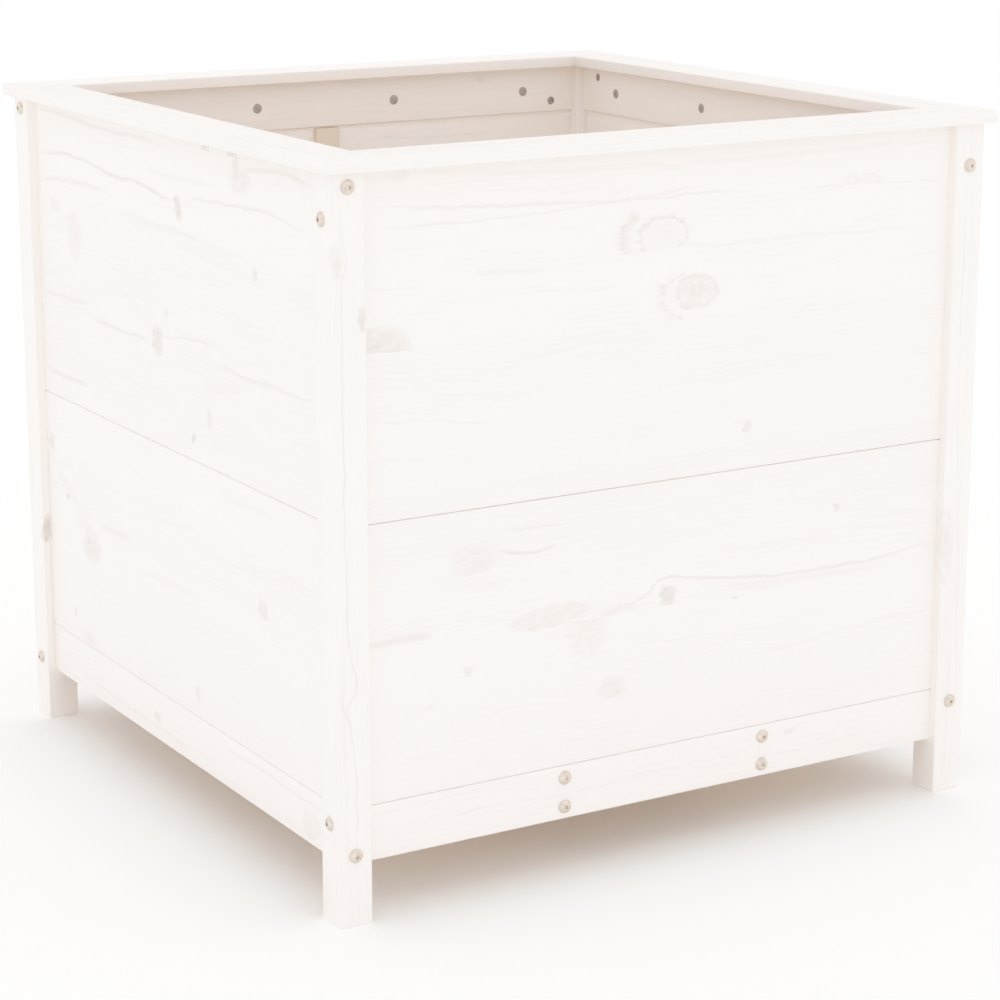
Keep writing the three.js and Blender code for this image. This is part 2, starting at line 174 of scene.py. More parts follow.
def paintedPine(name, grain, figure, look=pineLook):
    # Pine under two thin coats of sprayed white: the pores are closed, but knots and some
    # late wood still darken it and stand up a little, and it shines softly like satin.
    material = newMaterial(name)
    tree = material.node_tree
    turn, origin = grain
    spot = addNode(tree, 'ShaderNodeTexCoord').outputs['Object']
    wood = addNode(tree, 'ShaderNodeMapping', {'vector_type': 'POINT'}, {
        'Vector': spot, 'Scale': (1000, 1000, 1000), 'Rotation': turn.to_euler('XYZ'),
        'Location': tuple(-part / mm for part in turn @ Vector(origin))})
    wobble = woodNoise(tree, wood, look['wobbleSize'], 3.0, 0.6).outputs['Color']
    wavy = addNode(tree, 'ShaderNodeVectorMath', {'operation': 'MULTIPLY_ADD'}, {
        0: wobble, 1: look['wobbleReach'], 2: wood})
    mottle = woodNoise(tree, wood, look['mottleSize'], 3.0, 0.62)
    ragged = addNode(tree, 'ShaderNodeVectorMath', {'operation': 'MULTIPLY_ADD'}, {
        0: mottle.outputs['Color'], 1: look['raggedReach'], 2: wavy})
    parts = addNode(tree, 'ShaderNodeSeparateXYZ', {}, {0: wavy})
    along, depth, across = parts.outputs

    # Strips glued edge to edge, each cut from another place in another tree.
    strip = addNode(tree, 'ShaderNodeSeparateXYZ', {}, {0: wood}).outputs['Z']
    strip = addNode(tree, 'ShaderNodeMath', {'operation': 'SUBTRACT'}, {0: strip, 1: figure['stripStart']})
    strip = addNode(tree, 'ShaderNodeMath', {'operation': 'DIVIDE'}, {0: strip, 1: figure['stripWidth']})
    strip = addNode(tree, 'ShaderNodeMath', {'operation': 'FLOOR'}, {0: strip})
    pick = addNode(tree, 'ShaderNodeMath', {'operation': 'ADD'}, {0: strip, 1: figure['seed']})
    chance = addNode(tree, 'ShaderNodeTexWhiteNoise', {'noise_dimensions': '1D'}, {'W': pick})
    chance = addNode(tree, 'ShaderNodeSeparateXYZ', {}, {0: chance.outputs['Color']})

    # Growth rings round the strip's own pith, which wanders along it.
    pith = addNode(tree, 'ShaderNodeMath', {'operation': 'MULTIPLY_ADD'}, {
        0: strip, 1: figure['stripWidth'], 2: figure['stripStart'] + figure['stripWidth'] / 2})
    pith = addNode(tree, 'ShaderNodeMath', {'operation': 'MULTIPLY_ADD'}, {
        0: chance.outputs['X'], 1: look['pithAside'], 2: pith})
    beside = addNode(tree, 'ShaderNodeMath', {'operation': 'SUBTRACT'}, {0: across, 1: pith})
    drift = addNode(tree, 'ShaderNodeMath', {'operation': 'MULTIPLY_ADD'}, {
        0: strip, 1: look['treeStep'], 2: figure['seed']})
    far = addNode(tree, 'ShaderNodeMath', {'operation': 'DIVIDE'}, {0: along, 1: look['wanderLength']})
    drift = addNode(tree, 'ShaderNodeCombineXYZ', {}, {'X': far, 'Y': drift})
    drift = addNode(tree, 'ShaderNodeTexNoise', {'normalize': False}, {
        'Vector': drift, 'Scale': 1.0, 'Detail': 1.0})
    beside = addNode(tree, 'ShaderNodeMath', {'operation': 'MULTIPLY_ADD'}, {
        0: drift, 1: look['pithWander'], 2: beside})
    behind = addNode(tree, 'ShaderNodeMath', {'operation': 'MULTIPLY_ADD'}, {
        0: chance.outputs['Y'], 1: look['pithBehind'][1], 2: depth})
    behind = addNode(tree, 'ShaderNodeMath', {'operation': 'ADD'}, {0: behind, 1: look['pithBehind'][0]})
    rings = addNode(tree, 'ShaderNodeCombineXYZ', {}, {'X': beside, 'Y': behind})
    rings = addNode(tree, 'ShaderNodeVectorMath', {'operation': 'LENGTH'}, {0: rings})

    # Knots and the lines that a year's growth draws past them.
    marks = 0.0
    bends = 0.0
    for knot in figure['knots']:
        placed = addNode(tree, 'ShaderNodeMapping', {'vector_type': 'TEXTURE'}, {
            'Vector': ragged, 'Location': (knot['u'], knot.get('w', 0.0), knot['v']),
            'Rotation': (0.0, math.radians(knot.get('turn', 0.0)), 0.0),
            'Scale': (knot['long'] * knotMargin, knot.get('reach', look['knotReach']),
                      knot['high'] * knotMargin)})
        distance = addNode(tree, 'ShaderNodeVectorMath', {'operation': 'LENGTH'}, {0: placed})
        tone = addNode(tree, 'ShaderNodeValToRGB', {}, {0: distance})
        rampThrough(tone, knotTones[knot['kind']], knot['strength'])
        for limit, place, operation in (('over', across, 'GREATER_THAN'), ('under', across, 'LESS_THAN'),
                                        ('leftOf', along, 'LESS_THAN')):
            if limit in knot:
                kept = addNode(tree, 'ShaderNodeMath', {'operation': operation}, {0: place, 1: knot[limit]})
                tone = addNode(tree, 'ShaderNodeMath', {'operation': 'MULTIPLY'}, {0: tone, 1: kept})
        marks = addNode(tree, 'ShaderNodeMath', {'operation': 'MAXIMUM'}, {0: marks, 1: tone})
        if knot.get('bend'):
            bend = addNode(tree, 'ShaderNodeMapRange', {'interpolation_type': 'SMOOTHSTEP'}, {
                'Value': distance, 'From Min': look['bendRange'][0], 'From Max': look['bendRange'][1],
                'To Min': knot['bend'], 'To Max': 0.0})
            bends = addNode(tree, 'ShaderNodeMath', {'operation': 'ADD'}, {0: bends, 1: bend})
    uneven = addNode(tree, 'ShaderNodeMath', {'operation': 'MULTIPLY_ADD'}, {
        0: mottle, 1: look['knotMottle'], 2: 1.0})
    marks = addNode(tree, 'ShaderNodeMath', {'operation': 'MULTIPLY'}, {0: marks, 1: uneven})
    for points, width, strength in figure['streaks']:
        first, last = points[0][0], points[-1][0]
        fade = (last - first) * look['streakFade']
        core = width * look['streakCore']
        middle = addNode(tree, 'ShaderNodeFloatCurve', {}, {'Value': along})
        curveThrough(middle, points, 'AUTO')
        off = addNode(tree, 'ShaderNodeMath', {'operation': 'SUBTRACT'}, {0: across, 1: middle})
        line = addNode(tree, 'ShaderNodeFloatCurve', {}, {'Value': off})
        curveThrough(line, ((-width, 0), (-core, 1), (core, 1), (width, 0)), 'VECTOR')
        reach = addNode(tree, 'ShaderNodeFloatCurve', {}, {'Value': along})
        curveThrough(reach, ((first - 1, 0), (first + fade, strength), (last - fade, strength),
                             (last + 1, 0)), 'VECTOR')
        tone = addNode(tree, 'ShaderNodeMath', {'operation': 'MULTIPLY'}, {0: line, 1: reach})
        marks = addNode(tree, 'ShaderNodeMath', {'operation': 'MAXIMUM'}, {0: marks, 1: tone})

    rings = addNode(tree, 'ShaderNodeMath', {'operation': 'ADD'}, {0: rings, 1: bends})
    late = addNode(tree, 'ShaderNodeMath', {'operation': 'DIVIDE'}, {0: rings, 1: look['ringWidth']})
    late = addNode(tree, 'ShaderNodeMath', {'operation': 'FRACT'}, {0: late})
    late = addNode(tree, 'ShaderNodeValToRGB', {}, {0: late})
    rampThrough(late, look['ringTones'])
    patches = woodNoise(tree, wood, look['patchSize'], 2.0)
    shown = addNode(tree, 'ShaderNodeMapRange', {'interpolation_type': 'SMOOTHSTEP'}, {
        'Value': patches, 'From Min': look['thinPaint'][0], 'From Max': look['thinPaint'][1],
        'To Min': look['ringFaint'], 'To Max': look['ringStrength']})
    late = addNode(tree, 'ShaderNodeMath', {'operation': 'MULTIPLY'}, {0: late, 1: shown})

    fibres = woodNoise(tree, wavy, look['fibreSize'], 3.0, 0.6)

    # How much of the wood shows through the paint, from 0 to 1.
    shows = addNode(tree, 'ShaderNodeMath', {'operation': 'MULTIPLY_ADD'}, {
        0: fibres, 1: look['fibreStrength'], 2: late})
    shows = addNode(tree, 'ShaderNodeMath', {'operation': 'MULTIPLY_ADD'}, {
        0: patches, 1: look['blotchStrength'], 2: shows})
    tint = addNode(tree, 'ShaderNodeMath', {'operation': 'SUBTRACT'}, {
        0: chance.outputs['Z'], 1: look['plainStrip']})
    shows = addNode(tree, 'ShaderNodeMath', {'operation': 'MULTIPLY_ADD'}, {
        0: tint, 1: look['stripTone'], 2: shows})
    shows = addNode(tree, 'ShaderNodeMath', {'operation': 'ADD', 'use_clamp': True}, {0: shows, 1: marks})
    colour = addNode(tree, 'ShaderNodeMix', {'data_type': 'RGBA', 'clamp_factor': True}, {
        0: shows, 6: linearColour(look['paint']), 7: linearColour(look['showThrough'])})
    height = addNode(tree, 'ShaderNodeMath', {'operation': 'MULTIPLY_ADD'}, {
        0: fibres, 1: look['fibreHeight'], 2: shows})
    relief = addNode(tree, 'ShaderNodeBump', {}, {
        'Height': height, 'Strength': 1.0, 'Distance': look['bumpHeight']})
    gloss = addNode(tree, 'ShaderNodeMapRange', {}, {
        'Value': fibres, 'From Min': -1.0, 'From Max': 1.0,
        'To Min': look['roughness'] - look['roughnessRange'],
        'To Max': look['roughness'] + look['roughnessRange']})
    shader = addNode(tree, 'ShaderNodeBsdfPrincipled', {}, {
        'Base Color': colour, 'Roughness': gloss, 'IOR': look['ior'], 'Normal': relief})
    addNode(tree, 'ShaderNodeOutputMaterial', {}, {'Surface': shader})
    return material


# Figures of the two sides seen best. Sizes are millimetres, seen from outside:
# u from the middle of the side to the right, v from the ground up.
stripWidth = 73  # pine shelf boards are glued up from strips of about this width


# A knot's middle, its half length and half height, and what else bends or cuts it off.
def knotAt(kind, u, v, long, high, strength, **more):
    return {'kind': kind, 'u': u, 'v': v, 'long': long, 'high': high, 'strength': strength, **more}


frontUpper = {
    'stripStart': 2, 'stripWidth': stripWidth, 'seed': 3.0,
    'knots': (
        knotAt('ring', -12, 673, 31, 22, 0.25, over=659, bend=9),
        knotAt('smudge', -2, 674, 22, 15, 0.09, over=659),
        knotAt('arc', -12, 672, 52, 34, 0.24, over=658, leftOf=-44),
        knotAt('arc', -12, 672, 46, 31, 0.12, over=658, leftOf=-42),
        knotAt('sound', 30, 613, 27, 17, 0.25, bend=8),
        knotAt('arc', 28, 609, 41, 26, 0.2, leftOf=14),
        knotAt('arc', 28, 608, 48, 30, 0.07, leftOf=0),
        knotAt('solid', -350, 586, 38, 25, 0.28, over=585, bend=7),
        knotAt('arc', 245, 704, 28, 15, 0.17, over=706, bend=5),
        knotAt('smudge', 245, 712, 12, 5, 0.15, over=706),
        knotAt('solid', 100, 458, 5, 7, 0.24),
        knotAt('solid', 90, 465, 9, 3, 0.16),
        knotAt('smudge', -322, 758, 12, 5, 0.15),
    ),
    'streaks': (
        (((-362, 728), (-174, 719), (114, 712)), 2.4, 0.17),
        (((-362, 709), (-196, 707), (-104, 713), (60, 722)), 2.4, 0.14),
        (((-300, 759), (-60, 748), (364, 751)), 4.5, 0.07),
        (((-60, 660), (200, 659), (364, 656)), 3.0, 0.08),
        (((150, 711), (364, 705)), 2.4, 0.1),
        (((-242, 656), (-200, 652), (-150, 653)), 5.0, 0.09),
        (((-188, 633), (-63, 626)), 5.0, 0.06),
        (((-362, 650), (-290, 645)), 2.4, 0.09),
        (((-362, 519), (-206, 501)), 2.4, 0.07),
    ),
}
frontLower = {
    'stripStart': 56, 'stripWidth': stripWidth, 'seed': 11.0,
    'knots': (
        knotAt('smudge', -237, 360, 28, 17, 0.15, over=348, bend=6),
        knotAt('solid', -228, 354, 9, 7, 0.16, over=348),
        knotAt('solid', 0, 290, 10, 10, 0.36, bend=5),
        knotAt('pale', -148, 287, 46, 10, 0.22, turn=-3),
        knotAt('smudge', -102, 268, 26, 34, 0.15, under=277, bend=5),
        knotAt('solid', -111, 268, 5, 9, 0.16, under=277),
        knotAt('smudge', -70, 196, 18, 12, 0.18, bend=4),
        knotAt('solid', -66, 192, 6, 4, 0.25),
        knotAt('solid', -244, 245, 5, 4, 0.2),
        knotAt('solid', 222, 353, 5, 6, 0.23),
        knotAt('solid', 89, 271, 5, 3, 0.17),
        knotAt('solid', -293, 212, 6, 3, 0.14),
    ),
    'streaks': (
        (((-212, 366), (-188, 361), (-138, 364)), 2.8, 0.24),
        (((-200, 385), (-128, 384)), 1.8, 0.16),
        (((-82, 280), (-48, 284), (-24, 294), (-8, 306), (30, 303), (68, 298), (189, 288), (294, 291),
          (366, 300)),
         2.2, 0.22),
        (((-86, 279), (-60, 281), (-38, 283)), 4.5, 0.14),
        (((40, 292), (120, 284), (220, 281), (320, 286)), 8.0, 0.07),
        (((-372, 286), (-340, 290), (-284, 289)), 6.0, 0.2),
        (((60, 330), (210, 322)), 6.0, 0.05),
        (((-60, 243), (60, 236)), 4.0, 0.05),
        (((100, 205), (240, 212), (362, 222)), 5.0, 0.05),
    ),
}
frontRail = {
    'stripStart': 30, 'stripWidth': 120, 'seed': 23.0,
    'knots': (knotAt('solid', 166, 108, 7, 4, 0.16),),
    'streaks': (
        (((-300, 93), (-120, 90), (40, 94)), 3.0, 0.05),
        (((60, 82), (320, 86)), 3.0, 0.04),
    ),
}
leftUpper = {
    'stripStart': 2, 'stripWidth': stripWidth, 'seed': 31.0,
    'knots': (
        knotAt('solid', 32, 685, 9, 12, 0.4, bend=6),
        knotAt('smudge', 184, 732, 26, 14, 0.2, bend=8),
        knotAt('solid', 176, 747, 6, 16, 0.26, turn=8),
        knotAt('solid', 104, 759, 10, 4, 0.36),
        knotAt('solid', 164, 759, 8, 4, 0.34),
        knotAt('smudge', -258, 616, 19, 29, 0.15, bend=5),
        knotAt('arc', -258, 614, 13, 24, 0.12),
        knotAt('smudge', -311, 646, 15, 8, 0.17),
        knotAt('solid', 214, 640, 6, 8, 0.22),
        knotAt('solid', -6, 566, 7, 4, 0.16),
        knotAt('solid', -32, 531, 14, 17, 0.3, bend=7),
        knotAt('solid', 97, 469, 6, 12, 0.19),
        knotAt('solid', 56, 439, 5, 6, 0.4),
    ),
    'streaks': (
        (((-366, 757), (-224, 751), (-44, 750), (14, 749)), 3.6, 0.17),
        (((-362, 700), (-320, 706), (-270, 709), (-142, 701), (-44, 697), (26, 690)), 3.2, 0.28),
        (((39, 691), (80, 699), (144, 704), (234, 706), (344, 697)), 2.6, 0.2),
        (((-366, 668), (-282, 679), (-150, 681)), 4.0, 0.17),
        (((-136, 664), (-19, 659), (87, 663)), 6.0, 0.1),
        (((-60, 722), (40, 716), (130, 722)), 4.0, 0.09),
        (((186, 742), (278, 751), (346, 746)), 4.5, 0.18),
        (((-366, 538), (-213, 542)), 3.6, 0.15),
        (((-213, 525), (-52, 528)), 2.8, 0.19),
        (((-19, 536), (49, 546), (115, 549)), 2.4, 0.14),
        (((111, 529), (234, 530), (346, 531)), 3.4, 0.15),
        (((80, 497), (192, 517)), 8.0, 0.08),
        (((-362, 444), (-225, 442)), 4.5, 0.2),
    ),
}
leftLower = {
    'stripStart': 56, 'stripWidth': stripWidth, 'seed': 43.0,
    'knots': (
        knotAt('solid', -350, 353, 10, 9, 0.27),
        knotAt('solid', -305, 297, 4, 5, 0.42),
        knotAt('smudge', -239, 250, 27, 22, 0.26, bend=7),
        knotAt('smudge', -262, 277, 16, 22, 0.12, turn=20),
        knotAt('solid', 219, 286, 10, 10, 0.23, bend=4),
        knotAt('smudge', 51, 147, 7, 11, 0.2),
        knotAt('smudge', -253, 131, 22, 12, 0.15),
        knotAt('solid', -296, 155, 4, 5, 0.26),
    ),
    'streaks': (
        (((-213, 278), (-177, 283), (-123, 284)), 5.0, 0.11),
        (((-340, 318), (-290, 300), (-262, 268)), 9.0, 0.09),
        (((-360, 330), (-280, 334)), 3.0, 0.1),
        (((-120, 250), (-30, 258), (60, 262)), 6.0, 0.07),
        (((120, 392), (250, 388)), 8.0, 0.06),
        (((-40, 330), (60, 336)), 5.0, 0.05),
    ),
}

# Bodies of posts: here u is the height, v runs to the left and w to the back from the post's middle.
postFigures = {
    'post_front_left': {
        'stripStart': -60, 'stripWidth': 120, 'seed': 51.0,
        'knots': (
            knotAt('smudge', 681, 15, 18, 6, 0.19, w=-19, reach=9),
            knotAt('solid', 623, -15, 9, 6, 0.32, w=-19, reach=9),
        ),
        'streaks': (
            (((20, -0.5), (183, -0.5), (212, 3), (232, 8), (252, -2), (290, 4.5), (408, 7), (546, 8.5),
              (657, 8.5), (683, 5), (705, 8.5), (762, 10)), 1.5, 0.18),
            (((200, 2), (222, 5), (240, 12.5), (264, 16.5)), 1.4, 0.16),
            (((30, 9), (190, 10), (300, 13)), 2.2, 0.07),
        ),
    },
    'post_back_left': {
        'stripStart': -60, 'stripWidth': 120, 'seed': 57.0,
        'knots': (
            knotAt('solid', 243, 13, 15, 6, 0.55, w=-19, reach=9),
            knotAt('smudge', 100, 6, 30, 6, 0.18, w=-19, reach=9),
        ),
        'streaks': (
            (((30, 10), (243, 9), (420, 6)), 1.8, 0.18),
            (((20, -2), (90, -4), (200, -1)), 1.5, 0.2),
        ),
    },
    'post_front_right': {
        'stripStart': -60, 'stripWidth': 120, 'seed': 64.0,
        'knots': (
            knotAt('smudge', 293, 15, 26, 9, 0.2, w=-19, reach=12, bend=6),
            knotAt('arc', 293, 16, 40, 12, 0.13, w=-19, reach=16),
        ),
        'streaks': (
            (((20, 4), (150, 1), (300, -3), (420, 2), (700, 5)), 1.8, 0.1),
            (((20, -6), (160, -8), (330, -5), (560, -9)), 1.8, 0.09),
        ),
    },
    'post_back_right': {
        'stripStart': -60, 'stripWidth': 120, 'seed': 71.0,
        'knots': (knotAt('sound', 392, -6, 16, 8, 0.2, bend=4),),
        'streaks': (
            (((30, 4), (300, 7), (560, 2)), 2.0, 0.12),
            (((200, -9), (420, -6), (700, -10)), 1.8, 0.1),
        ),
    },
}


# What the figures of unseen pieces are drawn from, in millimetres or as shares of a knot's size.
inventedLook = {
    'endMargin': 30,
    'edgeMargin': 12,
    'sizes': (5, 7, 11, 16, 22),
    'soundFrom': 10,  # smaller knots are dead: darker, and nothing bends round them
    'deadStrength': 0.27,
    'soundStrength': 0.2,
    'strengthSpread': (0.7, 1.1),
    'long': 1.25,
    'high': (0.65, 0.9),
    'bend': 0.35,
    'lineReach': (90, 240),
    'lineShare': (0.3, 1.0),  # how much of that reach lies beyond the knot
    'lineEnds': 1.2,
    'lineMiddle': 1.5,
    'lineSway': 6,
    'lineWidth': (2.2, 4.5),
    'lineStrength': (0.06, 0.14),
}


# A figure of its own for a piece that the pictures don't show: a few knots, each with a line past it.
def inventedFigure(seed, ends, edges, stripWidth, knotCount, look=inventedLook):
    chance = random.Random(seed)
    knots = []
    streaks = []
    for index in range(knotCount):
        u = chance.uniform(ends[0] + look['endMargin'], ends[1] - look['endMargin'])
        v = chance.uniform(edges[0] + look['edgeMargin'], edges[1] - look['edgeMargin'])
        size = chance.choice(look['sizes'])
        dead = size < look['soundFrom']
        kind = 'solid' if dead else chance.choice(('sound', 'smudge', 'pale'))
        high = size * chance.uniform(*look['high'])
        strength = look['deadStrength' if dead else 'soundStrength'] * chance.uniform(*look['strengthSpread'])
        bend = 0 if dead else size * look['bend']
        knots.append(knotAt(kind, u, v, size * look['long'], high, strength, bend=bend))
        reach = chance.uniform(*look['lineReach'])
        lift = size * chance.choice((-1, 1))
        start = max(ends[0], u - reach)
        finish = min(ends[1], u + reach * chance.uniform(*look['lineShare']))
        sway = look['lineSway']
        points = ((start, v + lift * look['lineEnds'] + chance.uniform(-sway, sway)),
                  ((start + finish) / 2, v + lift * look['lineMiddle']),
                  (finish, v + lift * look['lineEnds'] + chance.uniform(-sway, sway)))
        streaks.append((points, chance.uniform(*look['lineWidth']), chance.uniform(*look['lineStrength'])))
    return {'stripStart': edges[0] - chance.uniform(0, stripWidth), 'stripWidth': stripWidth,
            'seed': float(seed), 'knots': tuple(knots), 'streaks': tuple(streaks)}


# Turns from the planter's axes to the grain's (u, w, v), and where u, w and v are nought.
def sideGrain(index):
    face = Vector((0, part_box('front_upper_board')[0].y, 0))
    turn = index * math.pi / 2
    return Matrix.Rotation(-turn, 3, 'Z'), Matrix.Rotation(turn, 3, 'Z') @ face


def flatGrain(index):
    lay = Matrix(((1, 0, 0), (0, 0, 1), (0, -1, 0)))
    return lay @ Matrix.Rotation(-index * math.pi / 2, 3, 'Z'), Vector((0, 0, 0))


def uprightGrain(centre):
    return Matrix(((0, 0, 1), (0, 1, 0), (-1, 0, 0))), Vector((centre.x, centre.y, 0))


print('patterns set out')

# Metal

metalGrit = {'size': 0.5 * mm, 'height': 0.02 * mm, 'strength': 0.5}
metalClouds = {'from': -0.5, 'to': 0.6, 'dull': 0.86, 'glossier': 0.08, 'rougher': 0.1}
metalLook = {
    'bolt': {'colour': '#EEE4D8', 'roughness': 0.38, 'cloud': 5.0},
    'cam': {'colour': '#C8C1BC', 'roughness': 0.5, 'cloud': 4.0},
    'screw': {'colour': '#D8CFC3', 'roughness': 0.42, 'cloud': 3.0},
}


def zincPlatedSteel(name, look):
    # Bright zinc over stamped steel, warm and slightly cloudy, with a fine tumbled grain.
    material = newMaterial(name)
    tree = material.node_tree
    spot = addNode(tree, 'ShaderNodeTexCoord').outputs['Object']
    clouds = addNode(tree, 'ShaderNodeTexNoise', {'normalize': False}, {
        'Vector': spot, 'Scale': 1 / (look['cloud'] * mm), 'Detail': 2.0})
    grit = addNode(tree, 'ShaderNodeTexNoise', {'normalize': False}, {
        'Vector': spot, 'Scale': 1 / metalGrit['size'], 'Detail': 2.0})
    plain = linearColour(look['colour'])
    dull = tuple(part * metalClouds['dull'] for part in plain[:3]) + (1.0,)
    shade = addNode(tree, 'ShaderNodeMapRange', {}, {
        'Value': clouds, 'From Min': metalClouds['from'], 'From Max': metalClouds['to']})
    colour = addNode(tree, 'ShaderNodeMix', {'data_type': 'RGBA'}, {0: shade, 6: plain, 7: dull})
    gloss = addNode(tree, 'ShaderNodeMapRange', {}, {
        'Value': clouds, 'From Min': -1.0, 'From Max': 1.0,
        'To Min': look['roughness'] - metalClouds['glossier'],
        'To Max': look['roughness'] + metalClouds['rougher']})
    relief = addNode(tree, 'ShaderNodeBump', {}, {
        'Height': grit, 'Strength': metalGrit['strength'], 'Distance': metalGrit['height']})
    shader = addNode(tree, 'ShaderNodeBsdfPrincipled', {}, {
        'Base Color': colour, 'Metallic': 1.0, 'Roughness': gloss, 'Normal': relief})
    addNode(tree, 'ShaderNodeOutputMaterial', {}, {'Surface': shader})
    return material


boltMetal = zincPlatedSteel('zincPlatedBolt', metalLook['bolt'])
camMetal = zincPlatedSteel('dieCastZincCam', metalLook['cam'])
screwMetal = zincPlatedSteel('zincPlatedScrew', metalLook['screw'])
print('metals made')


# Shapes. Each is built as the front side's, and quarter turns put it on the other sides.

def sideTurn(index):
    return Matrix.Rotation(index * math.pi / 2, 4, 'Z')


sameSpot = 0.05 * mm  # places closer than this are one
weldDistance = 0.001 * mm
cutWeldDistance = 0.002 * mm
planeDistance = 1e-7
sharpFrom = math.radians(48)
aligned = 0.9  # a direction with more than this along an axis runs along it
fewSegments = 2  # of the smallest roundings


def boxShape(low, high):
    shape = bmesh.new()
    bmesh.ops.create_cube(shape, size=1)
    bmesh.ops.scale(shape, vec=high - low, verts=shape.verts)
    bmesh.ops.translate(shape, vec=(low + high) / 2, verts=shape.verts)
    return shape


# Rounds the edges whose middle and direction pass the test.
def roundEdges(shape, radius, segments, test):
    edges = []
    for edge in shape.edges:
        start, end = edge.verts[0].co, edge.verts[1].co
        if test((start + end) / 2, (end - start).normalized()):
            edges.append(edge)
    made = bmesh.ops.bevel(shape, geom=edges, offset=radius, offset_type='OFFSET', segments=segments,
                           profile=0.5, affect='EDGES', material=-1, clamp_overlap=True)
    for face in made['faces']:
        face.smooth = True


def splitAt(shape, point, normal):
    everything = shape.verts[:] + shape.edges[:] + shape.faces[:]
    bmesh.ops.bisect_plane(shape, geom=everything, dist=planeDistance, plane_co=point, plane_no=normal)


# Pulls the part of an upper face between two lines up out of the wood.
def raiseStrip(shape, level, nearY, farY, lift):
    for y in (nearY, farY):
        splitAt(shape, (0, y, 0), (0, 1, 0))
    faces = [face for face in shape.faces if face.normal.z > aligned
             and abs(face.calc_center_median().z - level) < sameSpot
             and nearY < face.calc_center_median().y < farY]
    made = bmesh.ops.extrude_face_region(shape, geom=faces)
    bmesh.ops.delete(shape, geom=faces, context='FACES')  # the operator leaves them inside the strip
    moved = [part for part in made['geom'] if isinstance(part, bmesh.types.BMVert)]
    bmesh.ops.translate(shape, vec=(0, 0, lift), verts=moved)


def addRod(shape, diameter, start, direction, length, sides=32):
    direction = Vector(direction)
    turn = direction.to_track_quat('Z', 'Y').to_matrix().to_4x4()
    place = Matrix.Translation(Vector(start) + direction * length / 2) @ turn
    made = bmesh.ops.create_cone(shape, cap_ends=True, segments=sides, radius1=diameter / 2,
                                 radius2=diameter / 2, depth=length, matrix=place)
    faces = {face for vert in made['verts'] for face in vert.link_faces}
    for face in faces:
        face.smooth = len(face.verts) == 4


def addBox(shape, low, high):
    middle = (Vector(low) + Vector(high)) / 2
    size = Vector(high) - Vector(low)
    place = Matrix.Translation(middle) @ Matrix.Diagonal(size.to_4d())
    bmesh.ops.create_cube(shape, size=1, matrix=place)


# Spins a line of points round an axis, both ends on the axis.
def turnedShape(points, axis, steps):
    shape = bmesh.new()
    verts = [shape.verts.new((x * mm, y * mm, 0)) for x, y in points]
    edges = [shape.edges.new(pair) for pair in zip(verts, verts[1:])]
    bmesh.ops.spin(shape, geom=verts + edges, cent=(0, 0, 0), axis=axis, angle=2 * math.pi,
                   steps=steps, use_merge=True)
    bmesh.ops.remove_doubles(shape, verts=shape.verts, dist=weldDistance)
    bmesh.ops.recalc_face_normals(shape, faces=shape.faces)
    for face in shape.faces:
        face.smooth = True
    return shape


def meshOf(shape, name):
    mesh = bpy.data.meshes.new(name)
    shape.to_mesh(mesh)
    shape.free()
    return mesh


def newObject(name, content):
    made = bpy.data.objects.new(name, content)
    bpy.context.scene.collection.objects.link(made)
    return made


# Joins one shape to another or cuts it out of it.
def combine(shape, tool, operation):
    objects = [newObject(name, meshOf(part, name)) for name, part in (('worked', shape), ('tool', tool))]
    change = objects[0].modifiers.new('change', 'BOOLEAN')
    change.operation = operation
    change.object = objects[1]
    change.solver = 'EXACT'
    change.use_self = True
    bpy.context.view_layer.update()
    depsgraph = bpy.context.evaluated_depsgraph_get()
    result = bmesh.new()
    result.from_object(objects[0], depsgraph)
    for item in objects:
        mesh = item.data
        bpy.data.objects.remove(item)
        bpy.data.meshes.remove(mesh)
    bmesh.ops.remove_doubles(result, verts=result.verts, dist=cutWeldDistance)
    bmesh.ops.dissolve_degenerate(result, edges=result.edges, dist=cutWeldDistance)
    return result


# Makes a piece from a base mesh, put in place by a matrix, which may turn but not stretch it.
def placePiece(name, base, place, materials, replaced=()):
    mesh = base.copy()
    mesh.name = name
    mesh.transform(place)
    for material in materials:
        mesh.materials.append(material)
    mesh.set_sharp_from_angle(angle=sharpFrom)
    piece = newObject(name, mesh)
    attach(piece, 'root')
    if replaced:
        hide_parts(*replaced)
    return piece


def nodeSpan(node):
    low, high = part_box(node)
    return low.copy(), high.copy()


joint = {
    'tongueWidth': 4 * mm,
    'tongueHeight': 5 * mm,
    'gap': 0.3 * mm,
    'boardThickness': 12 * mm,
    'housing': 6 * mm,
}
boltPlan = {
    'holeDiameter': 7 * mm,
    'nutHoleDiameter': 10.6 * mm,
    'nutInset': 33 * mm,
    'boreDepth': 44 * mm,
    'nutHoleFloor': 6.3 * mm,  # from the middle of the wood, away from the nut's open side
    'levels': {'bottom': (107.5 * mm, 75.5 * mm), 'top': (720.5 * mm, 752.5 * mm)},
    'beamX': (-128 * mm, 128 * mm),
}
boardLook = {
    'seamRound': 1.3 * mm,
    'seamOpen': 0.2 * mm,  # how much further the wood has shrunk away from a seam
    'railRound': 1.0 * mm,
    'segments': 3,
    'endGap': 0.05 * mm,  # rails stand hard against the posts
}
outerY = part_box('front_upper_board')[0].y
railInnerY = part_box('front_top_rail')[1].y
railMiddleY = (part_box('front_top_rail')[0].y + railInnerY) / 2
frameFace = -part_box('post_front_left')[0].x
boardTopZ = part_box('front_top_rail')[0].z


